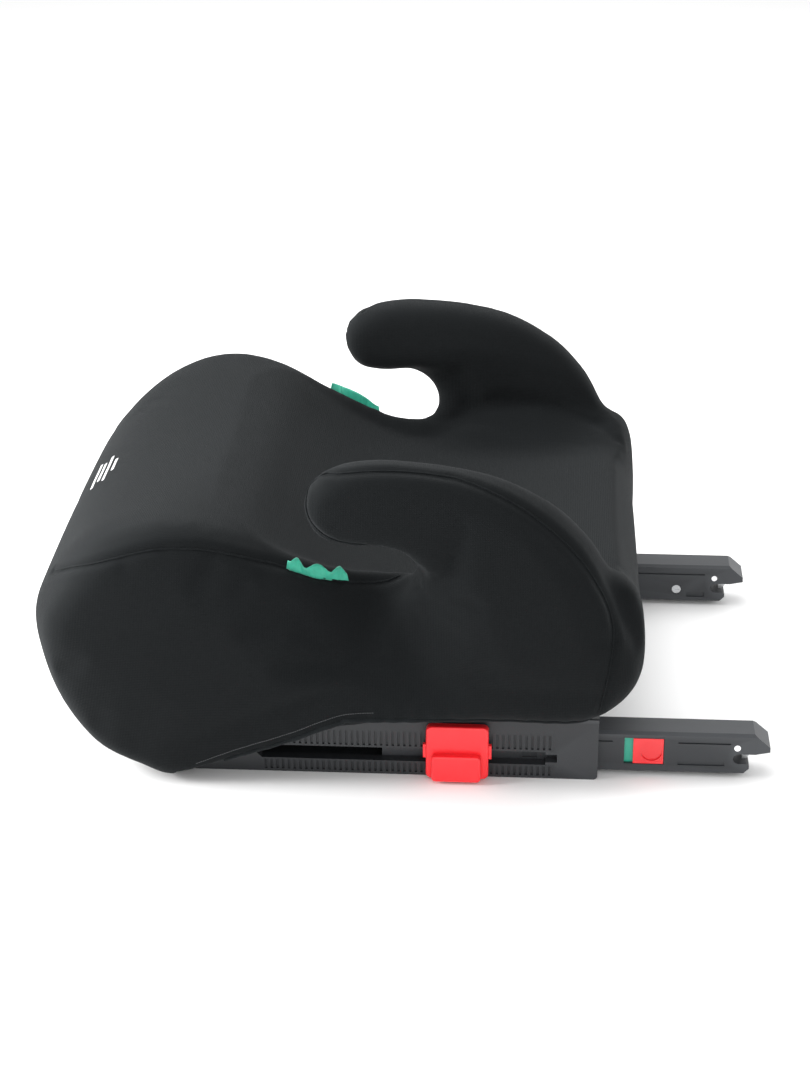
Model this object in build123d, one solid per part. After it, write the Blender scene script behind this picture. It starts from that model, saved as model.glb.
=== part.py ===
from build123d import *
from math import cos, hypot, radians, sin
import os

# Backless booster seat with two sliding ISOFIX arms. Millimetres, +Z up.
# +X is the child's left, -Y the front edge, +Y the side that meets the vehicle's seat back.
# The origin is the centre of the face that the seat rests on.

os.makedirs("parts", exist_ok=True)

# ---- driving dimensions -------------------------------------------------
ISOFIX_SPACING = 280.0  # between the centres of the two connectors, ISO 13216
HALF_WIDTH = 188.0  # outer side of the cover
ARMREST_INNER = 148.0  # inner side of an armrest
ARMREST_OUTER = 186.5  # its outer side, just inside the seat's
SEAT_EDGE = 22.0  # rounding along the sides of the seat block
ARMREST_EDGE = 12.0  # rounding along the sides of an armrest
BASE_HALF_LENGTH = 142.0  # the plastic base runs from -this to +this
HEM_HEIGHT = 52.0  # where the cover ends along the rear half of the sides

SEAT_COVER = 10.0  # jersey with its bonded wadding, over the seat
ARMREST_COVER = 8.0  # the same over an armrest
AIR = 0.3  # gap between one layer and the next
SEAT_FOAM = 9.0
ARMREST_FOAM = 5.0
SHELL = 3.0
FRONT_BOW = 4.0  # how far the front edge stands forward in the middle
FRONT_CORNER = 20.0  # how far it runs back beyond the sides
REAR_CORNER = 6.0  # how far the rear edge runs forward beyond the sides

WALL = 3.1  # rails, deck and tray
RAIL_INNER = 124.5
RAIL_OUTER = 160.0
RAIL_TOP = 47.6
RIB_PITCH = 4.0
GROOVE_WIDTH = 1.7
GROOVE_DEPTH = 1.3
SLOT_BOTTOM = 10.5
SLOT_TOP = 20.5
SLOT_FRONT = -90.0
SLOT_REAR = 114.0

ARM_X = ISOFIX_SPACING / 2
ARM_HALF_WIDTH = 12.0
ARM_BOTTOM = 3.5
ARM_TOP = 33.5
ARM_FRONT = -7.0
ARM_TIP = 260.0
ARM_PLAY = 0.4  # arm to rail, each side
FRAME_HALF_WIDTH = 8.5
FRAME_SHEET = 2.0
MOUTH_BOTTOM = 11.0
MOUTH_TOP = 18.5
MOUTH_END = 234.5
WEB_TOP = 15.0  # the frame's web behind the mouth, below the swing of the hook's tail
PIVOT_Y = 237.5
PIVOT_Z = 23.2
PIVOT_RADIUS = 2.25
RIVET_PROUD = 0.25
RUNNING_CLEARANCE = 0.05

SLIDE_IN = -108.0  # how far an arm goes in from where it is drawn
HOUSING_SKIN = 0.2  # gap between the steel frame and its plastic shroud
HOUSING_WALL = 1.8
STEM_Z = (11.0, 20.0)  # the lock bar's section
STEM_Y = (36.5, 54.5)

ADJUSTER_FRONT = 24.0
ADJUSTER_REAR = 67.0
ADJUSTER_GAP = 2.4  # behind the adjuster, which is pressed in by 2
ADJUSTER_FACE = RAIL_OUTER + 14.0
ADJUSTER_TOP = 42.0
WINDOW_FRONT = 160.0
WINDOW_REAR = 187.4
WINDOW_BOTTOM = 9.0
WINDOW_TOP = 29.0

SCREW_HEAD_RADIUS = 3.5
SCREW_HEAD = 2.0
SCREW_RADIUS = 1.7
SCREW_PLAY = 0.1

SCREW_LENGTH = 14.0
BOSS_RADIUS = 6.0
SCREW_SPOTS = [(x, y) for y in (-60, 30, 120) for x in (-95, 95)]  # tray to deck, X and Y
RAIL_SCREW_YS = (0, 48, 94)
HOUSING_SCREW_SPOTS = ((14.0, 28.5), (92.0, 28.5), (148.0, 28.5), (208.0, 13.0))  # Y and Z

TRAY_HALF_WIDTH = RAIL_INNER - AIR
TRAY_FRONT_WALL = 22.0  # solid at the front, where the tray is low
SHELL_SIDE = HALF_WIDTH - SEAT_COVER - SEAT_FOAM - SHELL - 4

# ---- outlines in the Y, Z plane, clockwise ------------------------------
SEAT_LINE = [
    (-20, 1), (-90, 1), (-150, 1), (-184, 9), (-213, 27), (-234, 56), (-246, 96), (-240, 128),
    (-221, 155), (-196, 176), (-166, 187), (-136, 187), (-106, 178), (-72, 159), (-35, 143),
    (15, 133), (70, 129), (118, 130), (148, 132), (167, 122), (174, 98), (168, 72),
    (150, 45), (122, 15), (60, 1),
]
ARMREST_LINE = [
    (-28, 178), (-49, 189), (-57, 208), (-50, 226), (-28, 238), (2, 239.5), (34, 236),
    (68, 227), (98, 212), (122, 194), (140, 173), (151, 153), (156, 133), (151, 110),
    (128, 90), (60, 84), (9, 96), (4, 130), (14, 157), (8, 171), (-6, 176),
]
HEM_LINE = [
    (-BASE_HALF_LENGTH - 10, 1), (-132, 9), (-104, 21), (-69, 34), (-34, 49),
    (-10, HEM_HEIGHT), (BASE_HALF_LENGTH, HEM_HEIGHT),
]


# ---- helpers ------------------------------------------------------------
def save(shape, node):
    export_step(shape, f"parts/{node}.step")


def save_pair(shape, node):
    """Writes the +X piece as _left and its mirror image as _right."""
    save(shape, f"{node}_left")
    save(mirror(shape, about=Plane.YZ), f"{node}_right")


def block(x, y, z):
    """A box from its low and high limits along each axis."""
    size = (x[1] - x[0], y[1] - y[0], z[1] - z[0])
    return Pos(x[0], y[0], z[0]) * Box(*size, align=(Align.MIN, Align.MIN, Align.MIN))


def side_prism(points, x):
    """Extrudes a Y, Z polygon between two X positions."""
    face = Plane.YZ.offset(x[0]) * make_face(Polyline(*points, close=True))
    return extrude(face, amount=x[1] - x[0])


def x_cylinder(radius, x, y, z):
    length = x[1] - x[0]
    return Pos((x[0] + x[1]) / 2, y, z) * Rot(0, 90, 0) * Cylinder(radius, length)


def z_cylinder(radius, x, y, z):
    return Pos(x, y, (z[0] + z[1]) / 2) * Cylinder(radius, z[1] - z[0])


def ramp(value, start, end):
    """0 at start, 1 at end, smooth in between."""
    t = min(max((value - start) / (end - start), 0.0), 1.0)
    return t * t * (3 - 2 * t)


def plan_shift(x, y):
    """How far the outline moves along Y at this X, so that the plan has round corners."""
    across = abs(x) / HALF_WIDTH
    corner = ramp(abs(x), 0.7 * HALF_WIDTH, 1.1 * HALF_WIDTH)
    front = FRONT_CORNER * corner - FRONT_BOW * (1 - across * across)
    return front * ramp(-y, 90, 240) - REAR_CORNER * corner * ramp(y, 60, 170)


def moved_in(line, inset):
    """The outline's points, moved in along its normals. Only for closed outlines drawn clockwise."""
    moved = []
    for i, (y, z) in enumerate(line):
        before, after = line[i - 1], line[(i + 1) % len(line)]
        dy, dz = after[0] - before[0], after[1] - before[1]
        length = hypot(dy, dz)
        moved.append((y + inset * dz / length, z - inset * dy / length))
    return moved


def outline(line, x, inset):
    """The closed smooth outline at one X. Every station's curve passes its points at the same parameters."""
    points = [(y + plan_shift(x, y), z) for y, z in moved_in(line, inset)]
    along = [0.0]
    for i, (y, z) in enumerate(line):
        after = line[(i + 1) % len(line)]
        along.append(along[-1] + hypot(after[0] - y, after[1] - z))
    curve = Edge.make_spline([Vector(y, z) for y, z in points], periodic=True,
                             parameters=[a / along[-1] for a in along])
    return Plane.YZ.offset(x) * make_face(curve)


def rounded_side(cap, radius):
    """Stations, as X and inset, that round a side whose flat cap lies at X = cap."""
    angles = (0, 30, 60, 90)
    return [(cap - radius * (1 - sin(radians(a))), radius * (1 - cos(radians(a)))) for a in angles]


def seat_block():
    half = [(x, 0) for x in (0, 90, 150)] + rounded_side(HALF_WIDTH, SEAT_EDGE)
    stations = [(-x, i) for x, i in reversed(half[1:])] + half
    return loft([outline(SEAT_LINE, x, i) for x, i in stations], ruled=True)


def armrest_block():
    outer = rounded_side(ARMREST_OUTER, ARMREST_EDGE)
    inner = [(ARMREST_OUTER + ARMREST_INNER - x, i) for x, i in outer]
    return loft([outline(ARMREST_LINE, x, i) for x, i in list(reversed(inner)) + outer], ruled=True)


def core(line, inset, low, high):
    """The flat-sided inside of a block, set back as far as the outline is near its outer side."""
    corner_x = HALF_WIDTH - ARMREST_COVER
    points = [(y + plan_shift(corner_x, y), z) for y, z in moved_in(line, inset)]
    return side_prism(points, (low, high))


def seat_core(inset):
    side = HALF_WIDTH - inset - 3
    return core(SEAT_LINE, inset, -side, side)


def armrest_core(inset):
    return core(ARMREST_LINE, inset, ARMREST_INNER + inset, ARMREST_OUTER - inset)


def both(shape):
    return shape + mirror(shape, about=Plane.YZ)


def above_hem():
    far = 2 * HALF_WIDTH
    return side_prism([(-far, 1)] + HEM_LINE + [(far, HEM_HEIGHT), (far, far), (-far, far)], (-far, far))


def arm_path():
    """The space that a rail takes, with the adjuster's whole travel beside it."""
    rail = block((RAIL_INNER - AIR, RAIL_OUTER + AIR), (-BASE_HALF_LENGTH - AIR, BASE_HALF_LENGTH + 40),
                 (-1, RAIL_TOP + AIR))
    adjuster = block((RAIL_OUTER, ADJUSTER_FACE + 0.6), (SLOT_FRONT - 4, SLOT_REAR), (-1, ADJUSTER_TOP + 1))
    return rail + adjuster


# ---- upholstered body ---------------------------------------------------

def soft_body():
    hem = above_hem()
    paths = both(arm_path())
    paths += block((-TRAY_HALF_WIDTH, TRAY_HALF_WIDTH), (-BASE_HALF_LENGTH - AIR, BASE_HALF_LENGTH), (-1, 5))
    cover = (seat_block() + both(armrest_block())) & hem
    save(cover - seat_core(SEAT_COVER) - both(armrest_core(ARMREST_COVER)) - paths, "seat_cover")
    foam_out, foam_in = SEAT_COVER + AIR, SEAT_COVER + SEAT_FOAM
    horn_out, horn_in = ARMREST_COVER + AIR, ARMREST_COVER + ARMREST_FOAM
    stiffener = both(armrest_core(horn_in + AIR))
    foam = seat_core(foam_out) - seat_core(foam_in) - both(armrest_core(horn_out - AIR))
    save((foam & hem) - paths, "seat_foam")
    horn = armrest_core(horn_out) - armrest_core(horn_in) - seat_core(foam_in)
    save_pair(horn, "armrest_foam")
    shell = seat_core(foam_in + AIR) + stiffener - seat_core(foam_in + AIR + SHELL)
    save((shell & hem) - paths, "base_shell")


def belt_guide():
    """A flat ribbon that stands out of the side seam in front of the notch."""
    foot, height, thickness = 1.4, 8.0, 1.2
    seam = [(-68, 155.0), (-48, 147.8), (-28, 142.0)]
    low = [(y, z - foot) for y, z in seam]
    high = [(y, z + height) for y, z in reversed(seam)]
    return side_prism(low + high, (ARM_X + 32, ARM_X + 32 + thickness))


# ---- plastic base -------------------------------------------------------
def screw(x, y, z, up):
    """A pan-head screw whose head rests at z and whose shank points up or down."""
    sign = 1 if up else -1
    head = z_cylinder(SCREW_HEAD_RADIUS, x, y, sorted((z, z - sign * SCREW_HEAD)))
    shank = z_cylinder(SCREW_RADIUS, x, y, sorted((z, z + sign * SCREW_LENGTH)))
    drive = block((x - 0.5, x + 0.5), (y - 2, y + 2), sorted((z - sign * 1.2, z - sign * 3)))
    return head + shank - drive


def pilot(x, y, z):
    return z_cylinder(SCREW_RADIUS + SCREW_PLAY, x, y, z)


def base_deck():
    """Follows the hem and closes the shell; bosses reach down for the tray's screws."""
    top = [(y, z - 1) for y, z in HEM_LINE[1:]]
    bottom = [(y, z - 1 - WALL) for y, z in reversed(HEM_LINE[1:])]
    deck = side_prism(top + bottom, (-SHELL_SIDE, SHELL_SIDE))
    for x, y in SCREW_SPOTS:
        floor = WALL + 3 + AIR
        roof = HEM_HEIGHT - 2 if y > -30 else HEM_HEIGHT - 16
        deck += z_cylinder(BOSS_RADIUS, x, y, (floor, roof))
        deck -= pilot(x, y, (floor - 1, floor + SCREW_LENGTH))
    for x in (-ARM_X, ARM_X):
        for y in RAIL_SCREW_YS:
            deck -= pilot(x, y, (HEM_HEIGHT - 8, HEM_HEIGHT + 2))
    beside = block((TRAY_HALF_WIDTH, HALF_WIDTH), (-HALF_WIDTH, -12), (-1, HALF_WIDTH))
    return deck - both(arm_path()) - both(beside)


def base_tray():
    """The bottom pan between the rails, ribbed inside and closed by the deck."""
    line = [(y, z - 1 - WALL - AIR) for y, z in HEM_LINE[1:]]
    outside = side_prism([(-BASE_HALF_LENGTH, 0)] + line + [(BASE_HALF_LENGTH, 0)],
                         (-TRAY_HALF_WIDTH, TRAY_HALF_WIDTH))
    inside = block((-TRAY_HALF_WIDTH + WALL, TRAY_HALF_WIDTH - WALL),
                   (-BASE_HALF_LENGTH + TRAY_FRONT_WALL, BASE_HALF_LENGTH - WALL), (WALL, HEM_HEIGHT))
    tray = outside - inside
    for y in (-95, -15, 75):
        tray += block((-TRAY_HALF_WIDTH + 1, TRAY_HALF_WIDTH - 1), (y, y + 2), (WALL - 1, WALL + 4))
    length = (-BASE_HALF_LENGTH + TRAY_FRONT_WALL - 1, BASE_HALF_LENGTH - 1)
    for x in (-40, 40):
        tray += block((x, x + 2), length, (WALL - 1, WALL + 4))
    for x, y in SCREW_SPOTS:
        tray += z_cylinder(BOSS_RADIUS + 1, x, y, (WALL - 1, WALL + 3))
        tray -= z_cylinder(SCREW_HEAD_RADIUS + 0.5, x, y, (-1, SCREW_HEAD + 0.4))
        tray -= pilot(x, y, (0, WALL + 4))
    return tray


def side_rail():
    """A box channel for one arm, with the rack and the adjuster's slot outside."""
    rail = block((RAIL_INNER, RAIL_OUTER), (-BASE_HALF_LENGTH, BASE_HALF_LENGTH), (0, RAIL_TOP))
    edge = rail.edges().filter_by(Axis.X).group_by(Axis.Y)[-1].sort_by(Axis.Z)[0]
    rail = fillet(edge, 3)
    channel_end = ARM_FRONT + SLIDE_IN - 3
    rail -= block((ARM_X - ARM_HALF_WIDTH - ARM_PLAY, ARM_X + ARM_HALF_WIDTH + ARM_PLAY),
                  (channel_end, BASE_HALF_LENGTH + 1), (ARM_BOTTOM - ARM_PLAY, ARM_TOP + ARM_PLAY))
    middle = (SLOT_BOTTOM + SLOT_TOP) / 2
    slot = [(SLOT_FRONT - 5, middle), (SLOT_FRONT, SLOT_TOP), (SLOT_REAR - 8, SLOT_TOP),
            (SLOT_REAR - 8, SLOT_TOP - 2), (SLOT_REAR, SLOT_TOP - 2), (SLOT_REAR, SLOT_BOTTOM + 2),
            (SLOT_REAR - 8, SLOT_BOTTOM + 2), (SLOT_REAR - 8, SLOT_BOTTOM), (SLOT_FRONT, SLOT_BOTTOM)]
    rail -= side_prism(slot, (ARM_X + ARM_HALF_WIDTH, RAIL_OUTER + 1))
    depth = (RAIL_OUTER - GROOVE_DEPTH, RAIL_OUTER + 1)
    for first, z in ((SLOT_FRONT + 2, (2, SLOT_BOTTOM - 1.5)), (SLOT_FRONT + 18, (SLOT_TOP + 1.5, 33))):
        grooves = []
        y = first
        while y < SLOT_REAR - RIB_PITCH:
            grooves.append(block(depth, (y, y + GROOVE_WIDTH), z))
            y += RIB_PITCH
        rail -= grooves
    ledge = [(RAIL_OUTER - 1, ADJUSTER_TOP + 1.2), (RAIL_OUTER + 3, ADJUSTER_TOP + 3),
             (RAIL_OUTER + 3, RAIL_TOP), (RAIL_OUTER - 1, RAIL_TOP)]
    face = Plane.XZ * make_face(Polyline(*ledge, close=True))
    rail += Pos(0, BASE_HALF_LENGTH, 0) * extrude(face, amount=BASE_HALF_LENGTH + 8)
    for y in RAIL_SCREW_YS:
        rail -= pilot(ARM_X, y, (HEM_HEIGHT - SCREW_LENGTH - 1.5, RAIL_TOP + 1))
    return rail


def base():
    save(base_deck(), "base_deck")
    save(base_tray(), "base_tray")
    save_pair(side_rail(), "side_rail")
    save(Compound([screw(x, y, SCREW_HEAD + 0.4, True) for x, y in SCREW_SPOTS]), "floor_screws")
    rail_screws = [screw(x, y, HEM_HEIGHT - 1, False) for x in (-ARM_X, ARM_X) for y in RAIL_SCREW_YS]
    save(Compound(rail_screws), "rail_screws")


# ---- ISOFIX arms --------------------------------------------------------
def arm_outline():
    """The arm's side outline: a bar whose tip is forked around the anchor bar."""
    return [(ARM_FRONT, ARM_BOTTOM), (ARM_TIP - 18, ARM_BOTTOM), (ARM_TIP - 14, ARM_BOTTOM + 4),
            (ARM_TIP - 14, MOUTH_BOTTOM - 1), (ARM_TIP - 16, MOUTH_BOTTOM), (MOUTH_END + 3.75, MOUTH_BOTTOM),
            (MOUTH_END + 1.1, MOUTH_BOTTOM + 1.1), (MOUTH_END, MOUTH_BOTTOM + 3.75),
            (MOUTH_END + 1.1, MOUTH_TOP - 1.1), (MOUTH_END + 3.75, MOUTH_TOP), (ARM_TIP - 10, MOUTH_TOP),
            (ARM_TIP, MOUTH_TOP + 2), (ARM_TIP, ARM_TOP - 9.5), (ARM_TIP - 11, ARM_TOP), (ARM_FRONT, ARM_TOP)]


def frame_space(play):
    """The folded steel frame's envelope inside the two housing halves."""
    low, high = ARM_BOTTOM + HOUSING_WALL, ARM_TOP - HOUSING_WALL
    half = FRAME_HALF_WIDTH + play
    mouth_low, mouth_high, mouth_back = MOUTH_BOTTOM - HOUSING_WALL, MOUTH_TOP + 0.9, MOUTH_END - HOUSING_WALL
    line = [(ARM_FRONT + 3 - play, low - play), (ARM_TIP - 19, low - play), (ARM_TIP - 19, mouth_low),
            (mouth_back, mouth_low), (mouth_back, mouth_high), (ARM_TIP - 3, MOUTH_TOP + 3),
            (ARM_TIP - 3, ARM_TOP - 11), (ARM_TIP - 12, high + play), (ARM_FRONT + 3 - play, high + play)]
    return side_prism(line, (ARM_X - half, ARM_X + half))


def windows():
    """Openings in the outer wall for the release slider and the adjuster's lock bar."""
    outside = (ARM_X + 5, ARM_X + 30)
    release = block(outside, (WINDOW_FRONT, WINDOW_REAR), (WINDOW_BOTTOM, WINDOW_TOP))
    lock = block(outside, (STEM_Y[0] - 0.5, STEM_Y[1] + 0.5), (STEM_Z[0] - 0.5, STEM_Z[1] + 0.5))
    return release + lock


def arm_frame():
    """Folded steel: two cheeks and a bottom web, open above."""
    frame = frame_space(0)
    floor = ARM_BOTTOM + HOUSING_WALL + FRAME_SHEET
    line = [(ARM_FRONT + 2, floor), (MOUTH_END - 4, floor),
            (MOUTH_END - 4, WEB_TOP), (ARM_TIP, WEB_TOP), (ARM_TIP, ARM_TOP), (ARM_FRONT + 2, ARM_TOP)]
    half = FRAME_HALF_WIDTH - FRAME_SHEET
    frame -= side_prism(line, (ARM_X - half, ARM_X + half))
    grow = 1.5  # the steel stands back from the plastic window
    frame -= block((ARM_X + 5, ARM_X + 30), (WINDOW_FRONT - grow, WINDOW_REAR + grow),
                   (WINDOW_BOTTOM - grow, WINDOW_TOP + grow))
    frame -= block((ARM_X + 5, ARM_X + 30), (STEM_Y[0] - 1, STEM_Y[1] + 1), (STEM_Z[0] - 1, STEM_Z[1] + 1))
    frame -= x_cylinder(PIVOT_RADIUS + SCREW_PLAY, (ARM_X - 20, ARM_X + 20), PIVOT_Y, PIVOT_Z)
    for y, z in HOUSING_SCREW_SPOTS:
        frame -= x_cylinder(SCREW_RADIUS + 0.6, (ARM_X - 20, ARM_X + 20), y, z)
    return frame


def arm_housing():
    """The plastic shroud around the frame, before it is split down the middle."""
    limits = (ARM_X - ARM_HALF_WIDTH, ARM_X + ARM_HALF_WIDTH)
    shroud = side_prism(arm_outline(), limits)
    top = shroud.edges().filter_by(Axis.Y).group_by(Axis.Z)[-1]
    shroud = chamfer(top, 2)
    bottom = shroud.edges().filter_by(Axis.Y).group_by(Axis.Z)[0]
    shroud = fillet(bottom, 1)
    shroud -= frame_space(HOUSING_SKIN)
    shroud -= block((ARM_X - FRAME_HALF_WIDTH + 1.8, ARM_X + FRAME_HALF_WIDTH - 1.8),
                    (MOUTH_END - 3, ARM_TIP - 4), (MOUTH_TOP - 1, MOUTH_TOP + 4))
    shroud -= windows()
    shroud -= x_cylinder(PIVOT_RADIUS + SCREW_PLAY, (ARM_X - 20, ARM_X + 20), PIVOT_Y, PIVOT_Z)
    outer = (limits[1] - 1, limits[1] + 1)
    for y, z in (((197, 233), (25.6, 26.8)), ((197, 229), (9, 12)), ((100, 152), (25.6, 26.8))):
        shroud -= block(outer, y, z)
    inner = (limits[0] - 1, limits[0] + 1)
    for y, z in (((176, 230), (25.6, 26.8)), ((156, 172), (13, 21)), ((216, 230), (7, 11))):
        shroud -= block(inner, y, z)
    shroud -= block(outer, (90, 100), (12, 20))
    for y, z in HOUSING_SCREW_SPOTS:
        shroud -= x_cylinder(SCREW_RADIUS + SCREW_PLAY, (limits[0] + 2, limits[1] - 1.5), y, z)
        shroud -= x_cylinder(SCREW_HEAD_RADIUS + 0.3, (limits[0] - 1, limits[0] + 2.4), y, z)
    return shroud


def housing_screws():
    screws = []
    start = ARM_X - ARM_HALF_WIDTH + 0.4
    for y, z in HOUSING_SCREW_SPOTS:
        head = x_cylinder(SCREW_HEAD_RADIUS, (start, start + SCREW_HEAD), y, z)
        shank = x_cylinder(SCREW_RADIUS, (start + 1, ARM_X + ARM_HALF_WIDTH - 2), y, z)
        drive = block((start - 1, start + 0.8), (y - 2, y + 2), (z - 0.5, z + 0.5))
        screws.append(head + shank - drive)
    return Compound(screws)


def hook_rivet():
    length = (ARM_X - ARM_HALF_WIDTH - RIVET_PROUD, ARM_X + ARM_HALF_WIDTH + RIVET_PROUD)
    return x_cylinder(PIVOT_RADIUS, length, PIVOT_Y, PIVOT_Z)


def hook():
    """The latch: an eye on the rivet, a tooth that closes the mouth and a tail that opens it."""
    x = (ARM_X - 4, ARM_X + 4)
    tooth = [(PIVOT_Y + 1, PIVOT_Z + 3.5), (PIVOT_Y + 6, PIVOT_Z + 2.5), (PIVOT_Y + 9, PIVOT_Z - 3),
             (PIVOT_Y + 9, PIVOT_Z - 9), (PIVOT_Y + 7, PIVOT_Z - 12), (PIVOT_Y + 4, PIVOT_Z - 12),
             (PIVOT_Y + 3.8, PIVOT_Z - 4.5), (PIVOT_Y, PIVOT_Z - 4)]
    tail = [(PIVOT_Y - 11, PIVOT_Z + 5), (PIVOT_Y, PIVOT_Z + 4), (PIVOT_Y, PIVOT_Z),
            (PIVOT_Y - 4, PIVOT_Z - 1), (PIVOT_Y - 11, PIVOT_Z + 1)]
    latch = x_cylinder(4, x, PIVOT_Y, PIVOT_Z) + side_prism(tooth, x) + side_prism(tail, x)
    return latch - x_cylinder(PIVOT_RADIUS + RUNNING_CLEARANCE, (x[0] - 1, x[1] + 1), PIVOT_Y, PIVOT_Z)


def lock_indicator():
    """The green flag that shows beside the slider while the hook is shut."""
    face = ARM_X + ARM_HALF_WIDTH - 2.6
    return block((face - 2, face), (WINDOW_FRONT + 0.2, WINDOW_FRONT + 8),
                 (WINDOW_BOTTOM + 0.2, WINDOW_TOP - 0.2))


def release_button():
    """A slider with a raised lip in front and a finger recess behind it."""
    y = (WINDOW_FRONT + 6.2, WINDOW_REAR - 0.4)
    z = (WINDOW_BOTTOM + 0.4, WINDOW_TOP - 0.4)
    top = ARM_X + ARM_HALF_WIDTH - 0.1
    plate = block((top - 2.2, top), y, z)
    recess = x_cylinder(7.5, (top - 1.4, top + 1), y[1] - 8.2, (z[0] + z[1]) / 2)
    stem = block((ARM_X - 3, top - 1.5), (y[1] - 11.5, y[1] - 2), (14, 24))
    rod_seat = block((ARM_X - 3, ARM_X + 3), (y[1] - 11.5, y[1] - 2), (14, 24.8))
    return plate - recess + stem + rod_seat


def release_rod():
    """Runs from the slider to just short of the hook's tail."""
    return block((ARM_X - 3, ARM_X + 3), (WINDOW_REAR - 12, PIVOT_Y - 15), (25, 28.5))


def adjuster_button():
    """A plate over the rail's rack with a raised thumb pad and an ear at each end."""
    x = RAIL_OUTER + ADJUSTER_GAP
    z = (2.0, ADJUSTER_TOP)
    plate = block((x, x + 6), (ADJUSTER_FRONT, ADJUSTER_REAR), z)
    plate = fillet(plate.edges().filter_by(Axis.X), 4)
    plate = fillet(plate.faces().sort_by(Axis.X)[-1].edges(), 1.5)
    plate += block((x, x + 3.5), (ADJUSTER_FRONT - 2, ADJUSTER_REAR + 2), (17, 27))
    pad = block((x + 3, ADJUSTER_FACE), (ADJUSTER_FRONT + 4, ADJUSTER_REAR - 5), (z[0], 22))
    pad = fillet(pad.edges().filter_by(Axis.X), 3)
    pad = fillet(pad.faces().sort_by(Axis.X)[-1].edges(), 2)
    return plate + pad


def lock_bar():
    """Steel bar fixed behind the adjuster, through the slot and into the arm's frame."""
    return block((ARM_X - 3, RAIL_OUTER + ADJUSTER_GAP), STEM_Y, STEM_Z)


def isofix_arm():
    shroud = arm_housing()
    far = 2 * ARM_TIP
    save_pair(shroud & block((ARM_X, far), (-far, far), (-far, far)), "arm_housing_outer")
    save_pair(shroud & block((0, ARM_X), (-far, far), (-far, far)), "arm_housing_inner")
    save_pair(arm_frame(), "arm_frame")
    save_pair(hook_rivet(), "hook_rivet")
    save_pair(housing_screws(), "housing_screws")
    save_pair(lock_indicator(), "lock_indicator")
    save_pair(hook(), "hook")
    save_pair(release_button(), "release_button")
    save_pair(release_rod(), "release_rod")
    save_pair(adjuster_button(), "adjuster_button")
    save_pair(lock_bar(), "lock_bar")


soft_body()
save_pair(belt_guide(), "belt_guide")
base()
isofix_arm()
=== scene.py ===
import math

import bpy
import numpy as np
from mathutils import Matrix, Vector
from mathutils.bvhtree import BVHTree


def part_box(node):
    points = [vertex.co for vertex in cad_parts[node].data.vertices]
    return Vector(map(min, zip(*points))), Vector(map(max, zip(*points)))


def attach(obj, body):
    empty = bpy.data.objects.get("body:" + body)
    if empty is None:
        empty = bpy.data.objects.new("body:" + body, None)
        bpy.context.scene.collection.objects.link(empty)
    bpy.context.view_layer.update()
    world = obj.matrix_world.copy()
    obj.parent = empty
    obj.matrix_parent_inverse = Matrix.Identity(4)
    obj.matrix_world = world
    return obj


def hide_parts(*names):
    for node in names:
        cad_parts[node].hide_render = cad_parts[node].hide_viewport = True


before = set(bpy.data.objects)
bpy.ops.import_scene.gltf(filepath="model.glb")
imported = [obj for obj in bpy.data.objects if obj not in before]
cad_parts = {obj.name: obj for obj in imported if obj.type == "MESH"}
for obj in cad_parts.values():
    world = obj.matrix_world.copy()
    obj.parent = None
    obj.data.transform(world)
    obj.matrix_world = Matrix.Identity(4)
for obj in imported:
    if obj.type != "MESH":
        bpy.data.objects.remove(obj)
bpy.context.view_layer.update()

# Looks for a backless booster seat: a jersey cover, seams, hems, ribbons and plain stripes around the
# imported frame. Sizes and outlines are in millimetres, and new_mesh and MM turn them into metres.
# Pairs such as HUMP_Z are the heights between which a blend runs from 0 to 1.
MM = 0.001
SIDES = {"left": 1, "right": -1}

# ---- sizes from the frame -----------------------------------------------
HALF_WIDTH = (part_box("seat_cover")[1] / MM).x
RAIL_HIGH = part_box("side_rail_left")[1] / MM
BASE_Y = RAIL_HIGH.y
HEM_Z = RAIL_HIGH.z + 4.4

# ---- outlines of the cover, as Y and Z ----------------------------------
FRONT_LINE = [
    (-150, 2), (-181, 10), (-205, 20), (-218, 31), (-231, 49), (-239, 66), (-244, 85), (-247, 102),
    (-246, 116), (-241, 127), (-234, 138), (-227, 148), (-219, 158), (-208, 168.5), (-191, 179),
    (-167, 187.5), (-141, 189), (-120, 185),
]
SIDE_LINE = [(-20, 40), (-90, 20)] + FRONT_LINE + [
    (-98, 177), (-72, 163), (-35, 149), (-8, 143.5), (9, 147.5), (15, 158), (8, 171), (-8, 179),
    (-28, 182), (-48, 188), (-57, 207), (-50, 226), (-28, 237.5), (2, 240), (34, 236.5),
    (64, 229.5), (84, 221.5), (101, 212), (114, 203), (124, 193.5), (133, 183.5), (140, 174),
    (146, 164), (151.5, 154), (156, 144), (160, 134), (164, 124), (168.5, 111), (171, 98),
    (171, 86), (167, 76), (160, 67), (148, 57), (130, 51), (110, 50), (60, 50),
]
MIDDLE_LINE = [(-20, 50), (-90, 40)] + FRONT_LINE + [
    (-98, 177), (-72, 159), (-35, 141), (15, 131), (70, 128), (115, 130), (143, 133), (163, 129),
    (173, 114), (174, 96), (171, 80), (162, 66), (148, 56), (120, 51), (60, 50),
]
HEM_LINE = [
    (-152, 2), (-132, 9), (-104, 21), (-69, 34), (-34, 49), (-10, HEM_Z), (BASE_Y + 16, HEM_Z),
]
FRONT_SEAM = [
    (-233, 139), (-206, 158), (-164, 174), (-134, 177), (-104, 172), (-68, 158.5), (-32, 145),
    (-10, 141), (6, 144),
]
ARM_SEAM = [
    (10, 166), (-10, 181), (-34, 184), (-52, 197), (-54, 214), (-42, 227), (-5, 233), (40, 229.5),
    (72, 219), (98, 203), (121, 181), (137, 157), (148, 129), (147, 100), (141, 64),
]

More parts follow.
